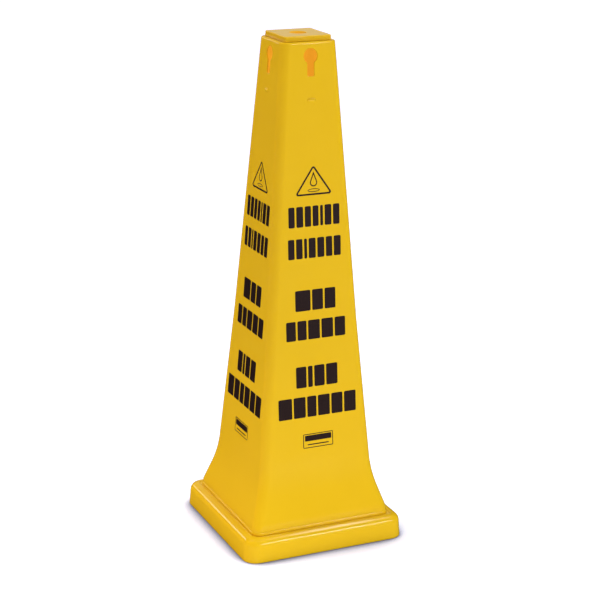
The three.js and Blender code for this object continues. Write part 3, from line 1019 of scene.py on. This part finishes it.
def add_camera():
    """A camera at the photo's angle, which looks down on the cone from its front left."""
    data = bpy.data.cameras.new("camera")
    data.lens = CAMERA_LENS
    data.sensor_width = CAMERA_SENSOR
    camera = bpy.data.objects.new("camera", data)
    bpy.context.scene.collection.objects.link(camera)
    sine, cosine = math.sin(CAMERA_AZIMUTH), math.cos(CAMERA_AZIMUTH)
    forward = Vector((
        -sine * math.cos(CAMERA_PITCH),
        cosine * math.cos(CAMERA_PITCH),
        -math.sin(CAMERA_PITCH),
    ))
    right = Vector((cosine, sine, 0))
    up = right.cross(forward)
    rolled_right = right * math.cos(CAMERA_ROLL) + up * math.sin(CAMERA_ROLL)
    rolled_up = up * math.cos(CAMERA_ROLL) - right * math.sin(CAMERA_ROLL)
    place = Matrix((rolled_right, rolled_up, -forward)).transposed().to_4x4()
    place.translation = Vector((sine * CAMERA_DISTANCE, -cosine * CAMERA_DISTANCE, CAMERA_HEIGHT))
    camera.matrix_world = place
    bpy.context.scene.camera = camera


def add_area_light(name, position, target, width, height, power, in_reflections=True, colour=(1, 1, 1)):
    """A rectangular light that faces its target. Sizes are in metres and power is in watts."""
    data = bpy.data.lights.new(name, "AREA")
    data.shape = "RECTANGLE"
    data.size = width
    data.size_y = height
    data.energy = power
    data.color = colour
    light = bpy.data.objects.new(name, data)
    bpy.context.scene.collection.objects.link(light)
    light.location = position
    light.rotation_euler = (Vector(target) - Vector(position)).to_track_quat("-Z", "Y").to_euler()
    light.visible_camera = False
    light.visible_glossy = in_reflections


def add_floor():
    """A plain square of floor, far wider than the view."""
    mesh = bpy.data.meshes.new("studio_floor")
    corners = [(x * FLOOR_REACH, y * FLOOR_REACH, 0) for x, y in ((-1, -1), (1, -1), (1, 1), (-1, 1))]
    mesh.from_pydata(corners, [], [(0, 1, 2, 3)])
    mesh.materials.append(studio_floor_material())
    floor = bpy.data.objects.new("studio_floor", mesh)
    bpy.context.scene.collection.objects.link(floor)
    floor.visible_glossy = False


def add_world():
    """White all round, warmer and stronger on the left."""
    world = bpy.data.worlds.new("studio")
    bpy.context.scene.world = world
    world.use_nodes = True
    nodes = world.node_tree.nodes
    links = world.node_tree.links
    direction = nodes.new("ShaderNodeTexCoord").outputs["Generated"]
    axes = nodes.new("ShaderNodeSeparateXYZ")
    links.new(direction, axes.inputs["Vector"])
    across = spread(nodes, links, axes.outputs["X"], start=-0.8, end=0.3)
    tint = blended(nodes, links, across, first=(1.5, 0.85, 0.6), second=(1, 1, 1))
    links.new(tint, nodes["Background"].inputs["Color"])
    nodes["Background"].inputs["Strength"].default_value = 0.285
    world.cycles_visibility.glossy = False


def add_sun(name, travel, energy):
    """Soft light from far away that travels one way and isn't seen in reflections."""
    data = bpy.data.lights.new(name, "SUN")
    data.energy = energy
    data.angle = SUN_SPREAD
    sun = bpy.data.objects.new(name, data)
    bpy.context.scene.collection.objects.link(sun)
    sun.rotation_euler = Vector(travel).to_track_quat("-Z", "Y").to_euler()
    sun.visible_glossy = False


def add_lighting():
    """Soft suns for the faces, softboxes for the highlights, and two low keys for the foot and base."""
    add_sun("rear_sun", travel=(0.12, -0.45, -1), energy=0.75)
    add_sun("left_rear_sun", travel=(0.5, -0.4, -1), energy=0.65)
    add_sun("top_sun", travel=(0.05, 0.03, -1), energy=0.65)
    cone_foot = (0, 0, 0.05)
    add_area_light(
        "overhead_softbox", position=(1.2, 0, 2.8), target=cone_foot, width=1.5, height=0.3, power=11
    )
    add_area_light(
        "front_softbox", position=(1.2, -2.4, 1.43), target=cone_foot, width=1.3, height=0.14, power=20
    )
    add_area_light(
        "rear_softbox", position=(0.2, 3.6, 1.7), target=(0, 0, 0.9), width=3.8, height=1, power=5.3
    )
    add_area_light(
        "left_rear_softbox", position=(-1.7, 3.4, 1.6), target=(0, 0, 0.8), width=0.7, height=0.5, power=4.5
    )
    base_middle = (0, 0, 0.02)
    add_area_light(
        "front_key",
        position=(-0.05, -0.45, 0.03),
        target=base_middle,
        width=0.55,
        height=0.04,
        power=0.3,
        in_reflections=False,
    )
    add_area_light(
        "left_key",
        position=(-0.45, -0.05, 0.03),
        target=base_middle,
        width=0.5,
        height=0.04,
        power=0.23,
        in_reflections=False,
        colour=(1, 0.8, 0.7),
    )


bpy.context.scene.view_settings.view_transform = "Standard"
add_camera()
add_world()
add_lighting()
add_floor()

outside = outside_yellow()
# Material for the inner skins, with a painted orange tone and a painted glow
inside = inside_painted_glow()
build_shell(outside, inside)
build_base(outside)
build_cap(outside, inside)
build_prints(printed_ink())

zinc = zinc_steel()
for name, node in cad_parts.items():
    if name.startswith("corner_screw"):
        node.data.materials[0] = zinc
